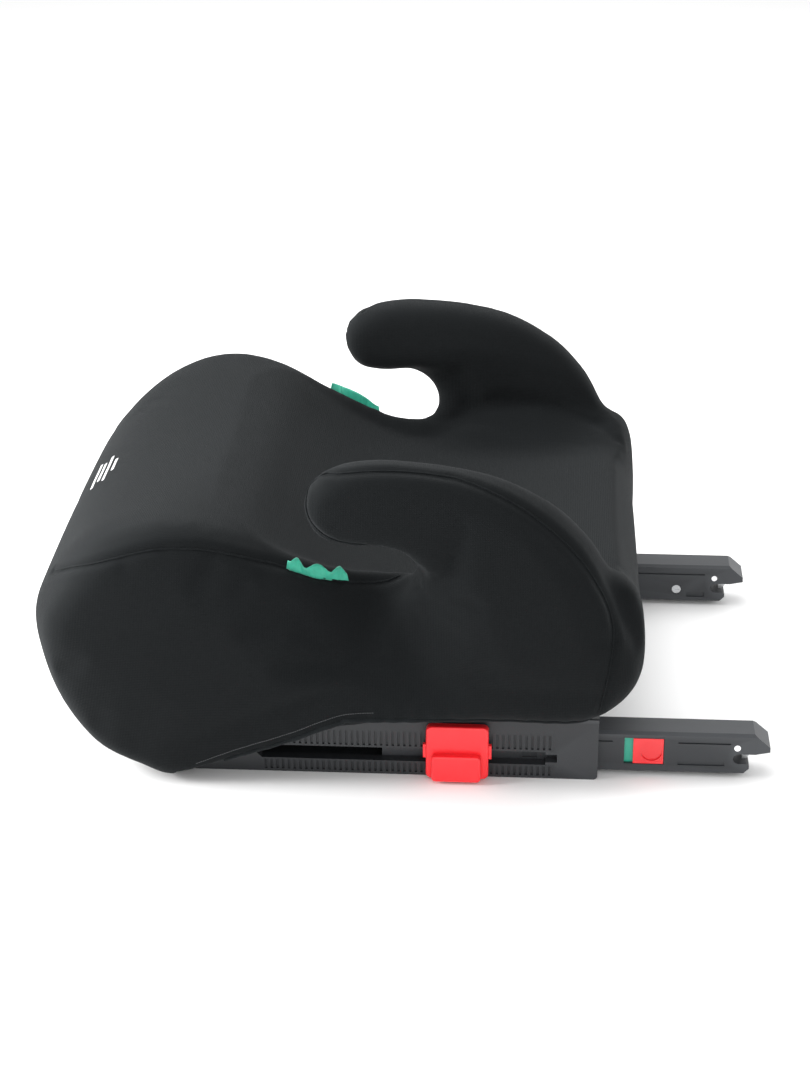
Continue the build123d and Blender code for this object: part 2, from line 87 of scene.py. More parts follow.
# ---- side panels and the middle block, across the seat ------------------
SIDE_INNER = 148.0
SIDE_OUTER = HALF_WIDTH - 2.0
SIDE_EDGE = 15.0
EDGE_ANGLES = (0, 20, 40, 58, 74, 90)
SIDE_POINTS, MIDDLE_POINTS = 260, 220
MIDDLE_REACH, MIDDLE_STATIONS = 168, 29

# ---- plan: a bowed front and round corners ------------------------------
FRONT_BOW, FRONT_CORNER, REAR_CORNER = 4.0, 20.0, 6.0
CORNER_X = (0.7 * HALF_WIDTH, 1.1 * HALF_WIDTH)
FRONT_Y, REAR_Y = (90, 240), (60, 170)  # the front's pair is measured forwards

# ---- seat: dished in the middle and run up into the armrests ------------
SEAT_TOP_Z = (95, 122)
DISH, DISH_Y = 3, (-120, -20)
HUMP_CROWN, HUMP_Z, HUMP_Y = 4, (120, 170), (60, 120)
RISE, RISE_POWER = 34.0, 1.6
RISE_X, RISE_Y = (SIDE_INNER - 46.0, SIDE_INNER + 14), (2, 50)
RISE_LOSS, RISE_LOSS_Y = 0.4, (95, 160)

# ---- waist: the side drawn in below the belt notch ----------------------
WAIST, WAIST_Y, WAIST_Z = 34.0, -2.0, 148.0
WAIST_LONG, WAIST_UP, WAIST_DOWN = 34, 17, 34
WAIST_X = (SIDE_INNER - 30, HALF_WIDTH)

# ---- fusing, trimming and swelling --------------------------------------
VOXEL = 4.6 * MM
BELLY_X = RAIL_HIGH.x + 15.5
LOWEST = 1
SWELL_ROOM = 0.5  # the cover starts this much smaller and the simulation fills it out
SWELL_CAP = 4.5 * MM
SWELL_FRAMES = 20
HELD_ABOVE_HEM = (4, 40)

# ---- seams, folds and hems ----------------------------------------------
SEAM_DEPTH, SEAM_WIDTH = 1.3, 2.4
LIP_HEIGHT, LIP_WIDTH, LIP_AWAY = 0.5, 3, 6  # the slight swelling beside a seam
NOTCH_END = (15.0, 152.0)
FOLDS = [  # how each fold leaves the notch's end: direction in degrees, length, height
    (-92, 60, 1.2), (-74, 38, 1.0), (-58, 26, 0.9), (-30, 24, 0.9), (-12, 30, 0.8), (8, 26, 0.8),
    (-106, 90, 1.1), (-122, 34, 0.8),
]
FOLD_WIDTH, FOLD_SPREAD = 2.2, 0.09
SLACK_HEIGHT, SLACK_PITCH = 0.45, 17
GATHER_HEIGHT, GATHER_PITCH = 0.35, 2.6
SEAM_CORD = 0.55 * MM
HEM_CORD, HEM_CORD_Z = 1.7 * MM, 2.2
STITCH, STITCH_Z, STITCH_POINTS = 0.28 * MM, 8.5, 3

# ---- ribbons and stripes ------------------------------------------------
RIBBON = [(-69, 158), (-49, 150), (-28, 143.5)]
RIBBON_TALL, RIBBON_LONG, RIBBON_THICK = 11.0, 47.0, 0.5
RIBBON_POINTS, RIBBON_ROWS = 90, 8
RIBBON_WAVES = {"left": 3.0, "right": 1.0}
RIBBON_SWING, RIBBON_LEAN, RIBBON_CURL = 2.6, 1.5, 1.4
PRINT_Z = 146.0
STRIPES = [(-9, 46), (-3, 34), (3, 46), (9, 22)]  # height above the print's middle, length
STRIPE_WIDTH = 2.4
STRIPE_POINTS = 24
STRIPE_UNDER, STRIPE_OVER = 0.02, 0.25  # how far a stripe's two faces stand off the cover

# ---- rays that find the cover, in metres --------------------------------
OUTSIDE = 0.3
NEAREST_SIDE = 140 * MM  # a ray that gets further in than this has missed the side panel
PRINT_FROM_Y, PRINT_TO_Y, PRINT_FROM_ABOVE = -0.42, -0.2, 120

# ---- materials ----------------------------------------------------------
CHARCOAL = (0.0046, 0.0056, 0.0062)
SHEEN_TINT = (0.8, 0.85, 0.88, 1)
GREEN = (0.015, 0.36, 0.235)
GREY_THREAD = (0.05, 0.052, 0.055)
WHITE_INK = (0.78, 0.78, 0.79)
FOAM_CREAM = (0.6, 0.58, 0.5)
PAPER = (0.93, 0.93, 0.93)
JERSEY_WALE, JERSEY_COURSE = 0.0011, 0.0013
SATIN_WALE, SATIN_COURSE = 0.0007, 0.0005
EDGE_POINTINESS = (0.52, 0.62)

# ---- studio, in metres --------------------------------------------------
AZIMUTH, ELEVATION, DISTANCE = math.radians(93.34), math.radians(23.75), 1.8
TARGET = Vector((0, 0, 0.1066))
LENS = 81.7
FLOOR_HALF = 6000
WORLD_LIGHT = 0.78
LIGHT_AIM = (0, 0, 0.1)
SOFTBOXES = [  # name, place, size, power
    ("top", (-0.3, -0.2, 1.9), (1.6, 1.6), 22),
    ("front_left", (0.2, -1.7, 0.9), (1.2, 1.0), 66),
    ("camera_side", (1.9, 0.5, 0.9), (1.4, 1.0), 9),
    ("back", (-1.4, 1.2, 1.4), (1.2, 1.0), 14),
]


# ---- curves and blends --------------------------------------------------
def ramp(value, start, end):
    """0 at start, 1 at end, smooth in between; works on arrays."""
    t = np.clip((np.asarray(value, float) - start) / (end - start), 0, 1)
    return t * t * (3 - 2 * t)


def catmull_rom(a, b, c, d, count):
    """Points on the smooth stretch from b to c, without c itself."""
    t = np.linspace(0, 1, count, endpoint=False)[:, None]
    return 0.5 * (2 * b + (c - a) * t + (2 * a - 5 * b + 4 * c - d) * t ** 2
                  + (3 * b - a - 3 * c + d) * t ** 3)


def evenly(line, count):
    """Resamples a polyline to count points at equal steps along it."""
    steps = np.linalg.norm(np.diff(line, axis=0), axis=1)
    along = np.concatenate([[0], np.cumsum(steps)])
    wanted = np.linspace(0, along[-1], count, endpoint=False)
    return np.column_stack([np.interp(wanted, along, line[:, k]) for k in range(line.shape[1])])


def smooth_loop(points, count):
    """A closed smooth curve through the points, evenly spaced."""
    p = np.array(points, float)
    n = len(p)
    dense = [catmull_rom(p[i - 1], p[i], p[(i + 1) % n], p[(i + 2) % n], 24) for i in range(n)]
    return evenly(np.concatenate(dense + [p[:1]]), count)


def open_curve(points, count):
    """An open smooth curve through the points, evenly spaced."""
    p = np.array(points, float)
    ends = np.vstack([2 * p[0] - p[1], p, 2 * p[-1] - p[-2]])
    dense = [catmull_rom(*ends[i - 1:i + 3], 20) for i in range(1, len(ends) - 2)]
    return evenly(np.concatenate(dense + [p[-1:]]), count)


def moved_in(loop, inset):
    """The loop moved towards its inside, square to itself."""
    tangent = np.roll(loop, -1, axis=0) - np.roll(loop, 1, axis=0)
    tangent /= np.linalg.norm(tangent, axis=1)[:, None]
    return loop + inset * np.column_stack([tangent[:, 1], -tangent[:, 0]])


def rounded_end(cap, radius, sign):
    """Stations (X, inset) from the straight part out to a flat cap."""
    angles = np.radians(EDGE_ANGLES)
    return [(cap - sign * radius * (1 - math.sin(a)), radius * (1 - math.cos(a))) for a in angles]


def lofted(loop, stations, shape):
    """Vertices and faces of a closed loft along X. shape adds the plan and the dish."""
    rings = []
    for x, inset in stations:
        yz = moved_in(loop, inset)
        rings.append(shape(np.column_stack([np.full(len(yz), x), yz])))
    count = len(loop)
    faces = []
    for k in range(len(rings) - 1):
        for i in range(count):
            j = (i + 1) % count
            faces.append((k * count + i, k * count + j, (k + 1) * count + j, (k + 1) * count + i))
    faces.append(tuple(range(count - 1, -1, -1)))
    faces.append(tuple(range((len(rings) - 1) * count, len(rings) * count)))
    return np.concatenate(rings), faces


# ---- shape of the cover -------------------------------------------------
def plan_shift(x, y):
    """How far a point moves along Y so that the cover's plan has a bowed front and round corners."""
    crown = 1 - (np.abs(x) / HALF_WIDTH) ** 2
    corner = ramp(np.abs(x), *CORNER_X)
    front = FRONT_CORNER * corner - FRONT_BOW * crown
    return front * ramp(-y, *FRONT_Y) - REAR_CORNER * corner * ramp(y, *REAR_Y)


def seat_dish(x, y, z):
    """Lowers the middle of the seat and runs it up into the armrests."""
    crown = 1 - (np.abs(x) / SIDE_INNER) ** 2
    rise = RISE * ramp(np.abs(x), *RISE_X) ** RISE_POWER
    rise *= 1 - RISE_LOSS * ramp(y, *RISE_LOSS_Y)
    seat = rise * ramp(y, *RISE_Y) - DISH * crown * ramp(y, *DISH_Y)
    hump = ramp(z, *HUMP_Z) * ramp(-y, *HUMP_Y)
    return ramp(z, *SEAT_TOP_Z) * seat - HUMP_CROWN * hump * crown


def waist(y, z):
    """0 to 1: how much the side is drawn in below the belt notch."""
    tall = np.where(z > WAIST_Z, WAIST_UP, WAIST_DOWN)
    return np.exp(-((y - WAIST_Y) / WAIST_LONG) ** 2 - ((z - WAIST_Z) / tall) ** 2)


def with_plan(points):
    """Points of a side panel, drawn in at the waist and shifted into the plan."""
    x, y, z = points.T
    drawn = WAIST * waist(y, z) * ramp(x, *WAIST_X)
    return np.column_stack([x - drawn, y + plan_shift(x, y), z])


def with_dish(points):
    """Points of the middle block, dished and then shaped as the side panels are."""
    x, y, z = points.T
    return with_plan(np.column_stack([x, y, z + seat_dish(x, y, z)]))


def hem_height(y):
    return np.interp(y, [p[0] for p in HEM_LINE], [p[1] for p in HEM_LINE])


# ---- meshes -------------------------------------------------------------
def linked(name, data):
    """A new object in the scene."""
    made = bpy.data.objects.new(name, data)
    bpy.context.scene.collection.objects.link(made)
    return made


def new_mesh(name, vertices, faces):
    """A piece from vertices in millimetres."""
    mesh = bpy.data.meshes.new(name)
    mesh.from_pydata((np.asarray(vertices) * MM).tolist(), [], faces)
    mesh.update()
    return linked(name, mesh)


def read_vertices(piece, what):
    flat = np.empty(len(piece.data.vertices) * 3)
    piece.data.vertices.foreach_get(what, flat)
    return flat.reshape(-1, 3)


def coordinates(piece):
    return read_vertices(piece, "co")


def normals(piece):
    return read_vertices(piece, "normal")


def set_coordinates(piece, points):
    piece.data.vertices.foreach_set("co", np.asarray(points, float).ravel())
    piece.data.update()


def applied(piece):
    """Applies every modifier by taking the evaluated mesh."""
    graph = bpy.context.evaluated_depsgraph_get()
    mesh = bpy.data.meshes.new_from_object(piece.evaluated_get(graph))
    piece.modifiers.clear()
    old = piece.data
    piece.data = mesh
    bpy.data.meshes.remove(old)
    return piece


def shade_smooth(piece):
    piece.data.polygons.foreach_set("use_smooth", [True] * len(piece.data.polygons))
    return piece


def subdivided(piece):
    modifier = piece.modifiers.new("fine", "SUBSURF")
    modifier.levels = 1
    modifier.render_levels = 1
    return applied(piece)


def tube(name, points, radius, resolution=2):
    """A round cord along points given in metres."""
    curve = bpy.data.curves.new(name, "CURVE")
    curve.dimensions = "3D"
    spline = curve.splines.new("POLY")
    spline.points.add(len(points) - 1)
    for target, place in zip(spline.points, points):
        target.co = (*place, 1)
    curve.bevel_depth = radius
    curve.bevel_resolution = resolution
    curve.use_fill_caps = True
    piece = linked(name, curve)
    graph = bpy.context.evaluated_depsgraph_get()
    mesh = bpy.data.meshes.new_from_object(piece.evaluated_get(graph))
    bpy.data.objects.remove(piece)
    return shade_smooth(linked(name, mesh))


def joined(name, pieces):
    """Several meshes as one piece."""
    vertices, faces = [], []
    for piece in pieces:
        start = len(vertices)
        vertices += [v.co.copy() for v in piece.data.vertices]
        faces += [tuple(start + i for i in p.vertices) for p in piece.data.polygons]
        bpy.data.objects.remove(piece)
    mesh = bpy.data.meshes.new(name)
    mesh.from_pydata(vertices, [], faces)
    return shade_smooth(linked(name, mesh))


def tree_of(piece):
    return BVHTree.FromObject(piece, bpy.context.evaluated_depsgraph_get())


def onto_side(tree, yz, sign, lift=0.0):
    """Drops Y, Z points onto one side of the cover from outside; returns metres."""
    found = []
    for y, z in yz:
        start = Vector((sign * OUTSIDE, y * MM, z * MM))
        place, normal, _, _ = tree.ray_cast(start, Vector((-sign, 0, 0)), OUTSIDE - NEAREST_SIDE)
        if place is not None:
            found.append(place + normal * lift)
    return found


def finish_piece(piece, body, look):
    piece.data.materials.clear()
    piece.data.materials.append(look)
    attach(piece, body)


# ---- making the cover ---------------------------------------------------
def cover_body():
    """Side panels with their horns and the middle of the seat, fused by a voxel remesh."""
    vertices, faces = [], []

    def add(block, block_faces):
        start = sum(len(v) for v in vertices)
        faces.extend(tuple(start + i for i in f) for f in block_faces)
        vertices.append(block)

    side = moved_in(smooth_loop(SIDE_LINE, SIDE_POINTS), SWELL_ROOM)
    middle = moved_in(smooth_loop(MIDDLE_LINE, MIDDLE_POINTS), SWELL_ROOM)
    outer = rounded_end(SIDE_OUTER - SWELL_ROOM, SIDE_EDGE, 1)
    inner = rounded_end(SIDE_INNER + SWELL_ROOM, SIDE_EDGE, -1)
    for sign in SIDES.values():
        block, block_faces = lofted(side, list(reversed(inner)) + outer, with_plan)
        block[:, 0] *= sign
        if sign < 0:
            block_faces = [tuple(reversed(f)) for f in block_faces]
        add(block, block_faces)
    across = np.linspace(-MIDDLE_REACH, MIDDLE_REACH, MIDDLE_STATIONS)
    add(*lofted(middle, [(x, 0) for x in across], with_dish))
    piece = new_mesh("cover", np.concatenate(vertices), faces)
    remesh = piece.modifiers.new("fuse", "REMESH")
    remesh.mode = "VOXEL"
    remesh.voxel_size = VOXEL
    smooth = piece.modifiers.new("even", "CORRECTIVE_SMOOTH")
    smooth.iterations = 6
    smooth.smooth_type = "LENGTH_WEIGHTED"
    smooth.use_only_smooth = True
    return applied(piece)


def trim_underside(piece):
    """Lifts the lower edge to the hem line and hollows the belly so that the base fits inside."""
    x, y, z = (coordinates(piece) / MM).T
    z = np.where(y > HEM_LINE[0][0], np.maximum(z, hem_height(y)), z)
    belly = (np.abs(x) < BELLY_X) & (y > -BASE_Y - 1)
    z = np.where(belly, np.maximum(z, HEM_Z), z)
    z = np.maximum(z, LOWEST)
    set_coordinates(piece, np.column_stack([x, y, z]) * MM)


def swell(piece):
    """Relaxes the cover with cloth under a little pressure, and holds the hem and the belly."""
    before = coordinates(piece).copy()
    points = before / MM
    free = ramp(points[:, 2] - hem_height(points[:, 1]), *HELD_ABOVE_HEM)
    group = piece.vertex_groups.new(name="held")
    for i, amount in enumerate(free):
        if amount < 0.999:
            group.add([i], float(1 - amount), "REPLACE")
    cloth = piece.modifiers.new("padding", "CLOTH")
    settings = cloth.settings
    settings.quality = 5
    settings.mass = 0.3
    settings.use_pressure = True
    settings.uniform_pressure_force = 4
    settings.tension_stiffness = 12
    settings.compression_stiffness = 12
    settings.bending_stiffness = 4
    settings.vertex_group_mass = "held"
    settings.effector_weights.gravity = 0
    cloth.point_cache.frame_start = 1
    cloth.point_cache.frame_end = SWELL_FRAMES
    scene = bpy.context.scene
    for step in range(1, SWELL_FRAMES + 1):
        scene.frame_set(step)
    applied(piece)
    scene.frame_set(1)
    moved = coordinates(piece) - before
    length = np.linalg.norm(moved, axis=1)
    scale = np.minimum(1, SWELL_CAP / np.maximum(length, 1e-9))
    set_coordinates(piece, before + moved * scale[:, None])


def press_seams(piece):
    """A shallow valley in the cover along each seam, with a slight swelling beside it."""
    tree = tree_of(piece)
    paths = []
    for sign in SIDES.values():
        for line, count in ((FRONT_SEAM, 150), (ARM_SEAM, 260)):
            paths += onto_side(tree, open_curve(line, count), sign)
    points, direction = coordinates(piece), normals(piece)
    seam = np.array([tuple(p) for p in paths])
    near = np.abs(points[:, 0]) > 120 * MM
    close = np.full(len(points), 1.0)
    close[near] = np.min([np.linalg.norm(points[near] - s, axis=1) for s in seam], axis=0)
    valley = SEAM_DEPTH * MM * np.exp(-(close / (SEAM_WIDTH * MM)) ** 2)
    lip = LIP_HEIGHT * MM * np.exp(-((close - LIP_AWAY * MM) / (LIP_WIDTH * MM)) ** 2)
    set_coordinates(piece, points - direction * (valley - lip)[:, None])


def pucker(piece):
    """Folds that fan out of the belt notch, slack down the side panel and gathers above the hem."""
    points, direction = coordinates(piece), normals(piece)
    x, y, z = (points / MM).T
    side = ramp(np.abs(direction[:, 0]), 0.35, 0.8) * ramp(np.abs(x), 150, 165)
    dy, dz = y - NOTCH_END[0], z - NOTCH_END[1]
    reach = np.hypot(dy, dz)
    angle = np.degrees(np.arctan2(dz, dy))
    height = np.zeros(len(points))
    for centre, length, size in FOLDS:
        off = reach * np.sin(np.radians(angle - centre))
        ahead = reach * np.cos(np.radians(angle - centre))
        width = FOLD_WIDTH + FOLD_SPREAD * np.clip(ahead, 0, None)
        fade = ramp(ahead, 0, 7) * (1 - ramp(ahead, 0.35 * length, length))
        height += size * fade * np.exp(-(off / width) ** 2)
    slack = np.sin(y / SLACK_PITCH + 1.2 * np.sin(z / 41)) * ramp(z, 60, 90) * (1 - ramp(z, 120, 150))
    height += SLACK_HEIGHT * slack * ramp(y, -40, 0) * (1 - ramp(y, 60, 110))
    gather = np.sin(y / GATHER_PITCH + 2 * np.sin(y / 19)) * (1 - ramp(z - hem_height(y), 2, 16))
    height += GATHER_HEIGHT * gather * ramp(z, 10, 30)
    set_coordinates(piece, points + direction * (height * side * MM)[:, None])


def make_cover():
    piece = cover_body()
    trim_underside(piece)
    swell(piece)
    subdivided(piece)
    pucker(piece)
    press_seams(piece)
    shade_smooth(piece)
    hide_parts("seat_cover", "seat_foam", "armrest_foam_left", "armrest_foam_right",
                "base_shell")
    finish_piece(piece, "seat", jersey("cover_jersey"))
    return piece


# ---- seams, hems, ribbons and stripes -----------------------------------
def seam_cords(tree):
    """The raised line of each seam."""
    for side, sign in SIDES.items():
        cords = []
        for name, line, count in (("front", FRONT_SEAM, 220), ("arm", ARM_SEAM, 360)):
            cords.append(tube(name, onto_side(tree, open_curve(line, count), sign, 0.1 * MM), SEAM_CORD))
        # The seam cords get a 1.25 times lighter copy of the cover's jersey: painted highlight on the raised
        # cord.
        finish_piece(joined(f"seam_{side}", cords), "seat", jersey("seam_jersey_painted_highlight", 1.25))


def hem_bands(tree):
    """The turned and stitched lower edge along each side."""
    for side, sign in SIDES.items():
        line = open_curve([(y, z + HEM_CORD_Z) for y, z in HEM_LINE[1:]], 260)
        cord = tube("edge", onto_side(tree, line, sign, -0.3 * MM), HEM_CORD, 3)
        line = open_curve([(y, z + STITCH_Z) for y, z in HEM_LINE[1:-1]], 240)
        placed = onto_side(tree, line, sign, 0.15 * MM)
        stitches = [tube("stitch", placed[i:i + STITCH_POINTS], STITCH, 1)
                    for i in range(0, len(placed) - 2, STITCH_POINTS)]
        # The hem edge gets a 1.5 times lighter copy of the cover's jersey: painted highlight along the turned
        # edge.
        finish_piece(joined(f"hem_edge_{side}", [cord]), "seat", jersey("hem_jersey_painted_highlight", 1.5))
        finish_piece(joined(f"hem_stitches_{side}", stitches), "seat", thread("hem_thread"))


def ribbon(side, sign, tree):
    """A folded satin tape sewn into the side seam; its free edge waves."""
    foot = onto_side(tree, open_curve(RIBBON, RIBBON_POINTS), sign, -0.4 * MM)
    turn = 2 * math.pi * RIBBON_WAVES[side]
    vertices, faces = [], []
    for i, place in enumerate(foot):
        t = i / (len(foot) - 1)
        for row in range(RIBBON_ROWS):
            r = row / (RIBBON_ROWS - 1)
            lean = RIBBON_LEAN * r + RIBBON_SWING * math.sin(turn * t + 0.6) * r ** 1.5
            tall = RIBBON_TALL * r * (1 - 0.16 * (1 + math.cos(turn * t)) * r)
            curl = RIBBON_CURL * r * math.cos(9 * t)
            vertices.append((place.x / MM + sign * lean, place.y / MM + curl, place.z / MM + tall))
    for i in range(len(foot) - 1):
        for row in range(RIBBON_ROWS - 1):
            a = i * RIBBON_ROWS + row
            faces.append((a, a + 1, a + RIBBON_ROWS + 1, a + RIBBON_ROWS))
    piece = new_mesh(f"ribbon_{side}", vertices, faces)
    thick = piece.modifiers.new("thick", "SOLIDIFY")
    thick.thickness = RIBBON_THICK * MM
    thick.offset = 0
    shade_smooth(applied(piece))
    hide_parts(f"belt_guide_{side}")
    finish_piece(piece, "seat", satin("green_satin"))


def flat_stroke(places, width):
    """A thin raised stripe along surface points."""
    vertices, faces = [], []
    last = len(places) - 1
    for k, (place, normal) in enumerate(places):
        ahead = places[min(k + 1, last)][0] - places[max(k - 1, 0)][0]
        across = normal.cross(ahead).normalized() * (width / 2 * MM)
        for shift in (-1, 1):
            for lift in (STRIPE_UNDER, STRIPE_OVER):
                vertices.append((place + across * shift + normal * lift * MM) / MM)
    for k in range(last):
        a, b = 4 * k, 4 * k + 4
        for p, q in ((0, 1), (1, 3), (3, 2), (2, 0)):
            faces.append((a + p, a + q, b + q, b + p))
    end = 4 * last
    faces += [(0, 2, 3, 1), (end, end + 1, end + 3, end + 2)]
    return new_mesh("stroke", vertices, faces)


def front_print(tree):
    """Plain stripes in white ink, where the front of the seat faces up."""
    strokes = []
    for rise, length in STRIPES:
        places = []
        for t in np.linspace(-0.5, 0.5, STRIPE_POINTS):
            x = length * t
            start = Vector((x * MM, PRINT_FROM_Y, (PRINT_Z + 0.75 * rise + PRINT_FROM_ABOVE) * MM))
            aim = Vector((x * MM, PRINT_TO_Y, (PRINT_Z + rise) * MM))
            place, normal, _, _ = tree.ray_cast(start, (aim - start).normalized())
            if place is not None:
                places.append((place, normal))
        strokes.append(flat_stroke(places, STRIPE_WIDTH))
    finish_piece(joined("front_stripes", strokes), "seat", ink("white_ink"))


# ---- materials ----------------------------------------------------------
def node(tree, kind, **values):
    """A shader node; in_ values go to its inputs and the others to its own settings."""
    made = tree.nodes.new(kind)
    for name, value in values.items():
        if name.startswith("in_"):
            made.inputs[name[3:].replace("_", " ")].default_value = value
        else:
            setattr(made, name, value)
    return made


def maths(tree, operation, a, b=None):
    """The output of a Math node whose inputs are numbers or other outputs."""
    made = node(tree, "ShaderNodeMath", operation=operation)
    for slot, value in zip(made.inputs, (a, b)):
        if value is None:
            continue
        if isinstance(value, (int, float)):
            slot.default_value = value
        else:
            tree.links.new(value, slot)
    return made.outputs[0]


def blank(name, color, rough):
    made = bpy.data.materials.new(name)
    made.use_nodes = True
    tree = made.node_tree
    shader = tree.nodes["Principled BSDF"]
    shader.inputs["Base Color"].default_value = (*color, 1)
    shader.inputs["Roughness"].default_value = rough
    return made, tree, shader


def lightened(color, factor, plus=0.0):
    return (*(min(1, c * factor + plus) for c in color), 1)


def mottled(tree, shader, color, scale, spread):
    """Slow colour variation around one colour."""
    place = node(tree, "ShaderNodeTexCoord")
    noise = node(tree, "ShaderNodeTexNoise", in_Scale=scale, in_Detail=5.0)
    tree.links.new(place.outputs["Object"], noise.inputs["Vector"])
    mix = node(tree, "ShaderNodeMix", data_type="RGBA")
    mix.inputs[6].default_value = lightened(color, 1 - spread)
    mix.inputs[7].default_value = lightened(color, 1 + spread)
    tree.links.new(noise.outputs["Fac"], mix.inputs[0])
    tree.links.new(mix.outputs[2], shader.inputs["Base Color"])
    return place, mix


def grain(tree, place, scale, detail):
    """A noise texture in object space."""
    noise = node(tree, "ShaderNodeTexNoise", in_Scale=scale, in_Detail=detail)
    tree.links.new(place.outputs["Object"], noise.inputs["Vector"])
    return noise.outputs["Fac"]


def bump(tree, shader, height, distance, strength):
    made = node(tree, "ShaderNodeBump", in_Strength=strength, in_Distance=distance)
    tree.links.new(height, made.inputs["Height"])
    tree.links.new(made.outputs["Normal"], shader.inputs["Normal"])


def knit(tree, u, v, wale, course):
    """Height of a plain jersey: columns of small V stitches."""
    column = maths(tree, "ABSOLUTE", maths(tree, "SINE", maths(tree, "MULTIPLY", u, math.pi / wale)))
    slanted = maths(tree, "ADD", maths(tree, "MULTIPLY", v, 1 / course), maths(tree, "MULTIPLY", column, 0.5))
    row = maths(tree, "SINE", maths(tree, "MULTIPLY", slanted, 2 * math.pi))
    return maths(tree, "ADD", maths(tree, "MULTIPLY", column, 0.7), maths(tree, "MULTIPLY", row, 0.3))


def woven_height(tree, place, wale, course):
    """The knit seen square on from each axis, mixed by which way the surface faces."""
    split = node(tree, "ShaderNodeSeparateXYZ")
    tree.links.new(place.outputs["Object"], split.inputs[0])
    x, y, z = split.outputs
    facing = node(tree, "ShaderNodeSeparateXYZ")
    tree.links.new(place.outputs["Normal"], facing.inputs[0])
    total = None
    for axis, (u, v) in zip(facing.outputs, ((y, z), (x, z), (x, y))):
        weight = maths(tree, "POWER", maths(tree, "ABSOLUTE", axis), 4)
        part = maths(tree, "MULTIPLY", knit(tree, u, v, wale, course), weight)
        total = part if total is None else maths(tree, "ADD", total, part)
    return total


def jersey(name, painted_highlight=1.0):
    """Charcoal knitted jersey: V stitches, fuzz, soft sheen and a slow change of tone. The second argument
    multiplies the colour; its lighter copies are painted highlight on the raised seam and hem cords.
    """
    # painted highlight: a factor above 1 lightens this copy of the same jersey
    color = tuple(c * painted_highlight for c in CHARCOAL)
    made, tree, shader = blank(name, color, 0.88)
    place, _ = mottled(tree, shader, color, 9, 0.16)
    height = woven_height(tree, place, JERSEY_WALE, JERSEY_COURSE)
    fuzz = maths(tree, "MULTIPLY", grain(tree, place, 2200.0, 3.0), 0.5)
    bump(tree, shader, maths(tree, "ADD", height, fuzz), 0.00035, 0.8)
    shader.inputs["Sheen Weight"].default_value = 0.05
    shader.inputs["Sheen Roughness"].default_value = 0.5
    shader.inputs["Sheen Tint"].default_value = SHEEN_TINT
    shader.inputs["Specular IOR Level"].default_value = 0.12
    return made


def satin(name):
    """Green woven tape with a soft gloss."""
    made, tree, shader = blank(name, GREEN, 0.42)
    place, _ = mottled(tree, shader, GREEN, 300, 0.22)
    bump(tree, shader, woven_height(tree, place, SATIN_WALE, SATIN_COURSE), 0.00015, 0.7)
    shader.inputs["Sheen Weight"].default_value = 0.3
    return made


def thread(name):
    made, tree, shader = blank(name, GREY_THREAD, 0.7)
    mottled(tree, shader, GREY_THREAD, 700, 0.3)
    return made


def ink(name):
    """Matt white print that takes the fabric's grain."""
    made, tree, shader = blank(name, WHITE_INK, 0.55)
    place, _ = mottled(tree, shader, WHITE_INK, 120, 0.06)
    bump(tree, shader, grain(tree, place, 1800.0, 2.0), 0.0002, 0.6)
    return made


def moulded(name, color, rough, grain_scale=1600.0, grain_height=0.00008, edge=0.5, coat=0.0):
    """Injection-moulded plastic: spark-eroded grain, rubbed edges and uneven gloss."""
    made, tree, shader = blank(name, color, rough)
    place, mix = mottled(tree, shader, color, 14, 0.10)
    worn = node(tree, "ShaderNodeNewGeometry")
    low, high = EDGE_POINTINESS
    rim = node(tree, "ShaderNodeMapRange", in_From_Min=low, in_From_Max=high)
    tree.links.new(worn.outputs["Pointiness"], rim.inputs["Value"])
    lighter = node(tree, "ShaderNodeMix", data_type="RGBA")
    lighter.inputs[7].default_value = lightened(color, 1 + edge, 0.02 * edge)
    tree.links.new(rim.outputs["Result"], lighter.inputs[0])
    tree.links.new(mix.outputs[2], lighter.inputs[6])
    tree.links.new(lighter.outputs[2], shader.inputs["Base Color"])
    gloss = node(tree, "ShaderNodeMapRange", in_To_Min=rough - 0.07, in_To_Max=rough + 0.09)
    tree.links.new(grain(tree, place, 35.0, 3.0), gloss.inputs["Value"])
    tree.links.new(gloss.outputs["Result"], shader.inputs["Roughness"])
    bump(tree, shader, grain(tree, place, grain_scale, 4.0), grain_height, 0.6)
    shader.inputs["Coat Weight"].default_value = coat
    return made


def metal(name, color, rough, brush):
    """Plated steel with fine lines; brush is how tightly they lie along X, Y and Z."""
    made, tree, shader = blank(name, color, rough)
    shader.inputs["Metallic"].default_value = 1.0
    place, _ = mottled(tree, shader, color, 60, 0.12)
    stretch = node(tree, "ShaderNodeMapping", in_Scale=brush)
    tree.links.new(place.outputs["Object"], stretch.inputs["Vector"])
    lines = node(tree, "ShaderNodeTexNoise", in_Scale=1.0, in_Detail=4.0)
    tree.links.new(stretch.outputs["Vector"], lines.inputs["Vector"])
    bump(tree, shader, lines.outputs["Fac"], 0.00005, 0.5)
    return made


def foamy(name):
    """Cream foam with open cells."""
    made, tree, shader = blank(name, FOAM_CREAM, 0.95)
    place, _ = mottled(tree, shader, FOAM_CREAM, 40, 0.1)
    cells = node(tree, "ShaderNodeTexVoronoi", in_Scale=900.0)
    tree.links.new(place.outputs["Object"], cells.inputs["Vector"])
    bump(tree, shader, cells.outputs["Distance"], 0.0004, 0.8)
    return made


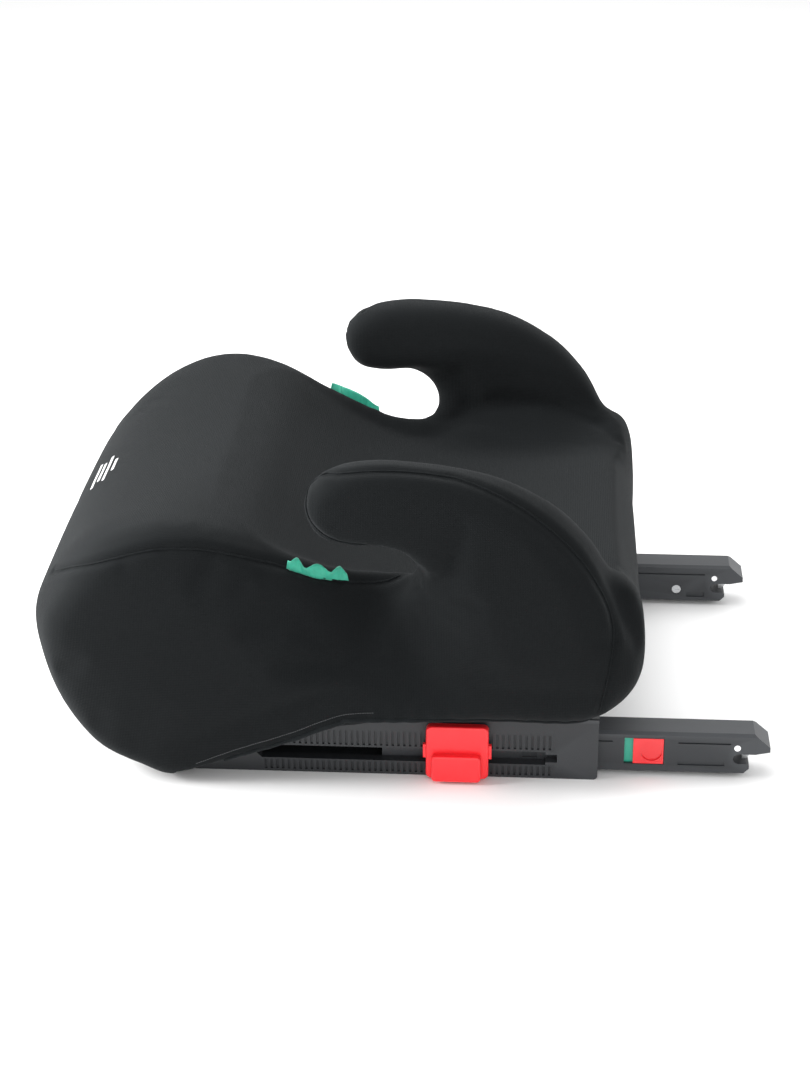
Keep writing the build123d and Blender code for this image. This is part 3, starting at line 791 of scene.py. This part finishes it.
def dress_frame():
    """Materials for every CAD node, chosen by how the node's name starts; the rest is steel."""
    foam = foamy("foam")
    tray = moulded("tray_plastic", (0.018, 0.020, 0.021), 0.5, 1100.0, 0.00014)
    looks = {
        "armrest_foam": foam,
        "seat_foam": foam,
        "base_shell": moulded("shell_plastic", (0.014, 0.015, 0.016), 0.55),
        "base_deck": tray,
        "base_tray": tray,
        "side_rail": moulded("rail_plastic", (0.020, 0.022, 0.025), 0.46, 1500.0, 0.0001),
        "arm_housing": moulded("arm_plastic", (0.020, 0.0225, 0.026), 0.42, 1700.0, 0.00008),
        "adjuster_button": moulded("adjuster_red", (0.93, 0.012, 0.020), 0.34, 1300.0, 0.00022, 0.15, 0.25),
        "release_button": moulded("release_red", (0.80, 0.008, 0.014), 0.2, 600.0, 0.00002, 0.1, 0.6),
        "lock_indicator": moulded("flag_green", (0.012, 0.33, 0.22), 0.3, 900.0, 0.00003, 0.1, 0.3),
        "hook_rivet": metal("bright_rivet", (0.86, 0.86, 0.87), 0.16, (500, 500, 60)),
    }
    steel = metal("zinc_steel", (0.55, 0.56, 0.57), 0.34, (900, 60, 900))
    for name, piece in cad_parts.items():
        look = next((made for start, made in looks.items() if name.startswith(start)), steel)
        piece.data.materials.clear()
        piece.data.materials.append(look)


# ---- studio -------------------------------------------------------------
def camera():
    away = Vector((math.sin(AZIMUTH) * math.cos(ELEVATION), -math.cos(AZIMUTH) * math.cos(ELEVATION),
                   math.sin(ELEVATION)))
    data = bpy.data.cameras.new("camera")
    data.lens = LENS
    made = linked("camera", data)
    made.location = TARGET + away * DISTANCE
    made.rotation_euler = (-away).to_track_quat("-Z", "Y").to_euler()
    bpy.context.scene.camera = made


def softbox(name, place, size, power):
    data = bpy.data.lights.new(name, "AREA")
    data.shape = "RECTANGLE"
    data.size, data.size_y = size
    data.energy = power
    made = linked(name, data)
    made.location = place
    made.rotation_euler = (Vector(LIGHT_AIM) - Vector(place)).to_track_quat("-Z", "Y").to_euler()


def studio():
    """A plain pale floor under a white sky, with four soft lights."""
    corners = [(x * FLOOR_HALF, y * FLOOR_HALF, 0) for x, y in ((-1, -1), (1, -1), (1, 1), (-1, 1))]
    floor = new_mesh("floor", corners, [(0, 1, 2, 3)])
    look, tree, shader = blank("floor_paper", PAPER, 0.9)
    mottled(tree, shader, PAPER, 2, 0.01)
    floor.data.materials.append(look)
    world = bpy.data.worlds.new("studio")
    world.use_nodes = True
    background = world.node_tree.nodes["Background"]
    background.inputs["Color"].default_value = (1, 1, 1, 1)
    background.inputs["Strength"].default_value = WORLD_LIGHT
    bpy.context.scene.world = world
    for box in SOFTBOXES:
        softbox(*box)
    bpy.context.scene.view_settings.view_transform = "Standard"


camera()
studio()
dress_frame()
cover = make_cover()
cover_tree = tree_of(cover)
seam_cords(cover_tree)
hem_bands(cover_tree)
for side_name, side_sign in SIDES.items():
    ribbon(side_name, side_sign, cover_tree)
front_print(cover_tree)
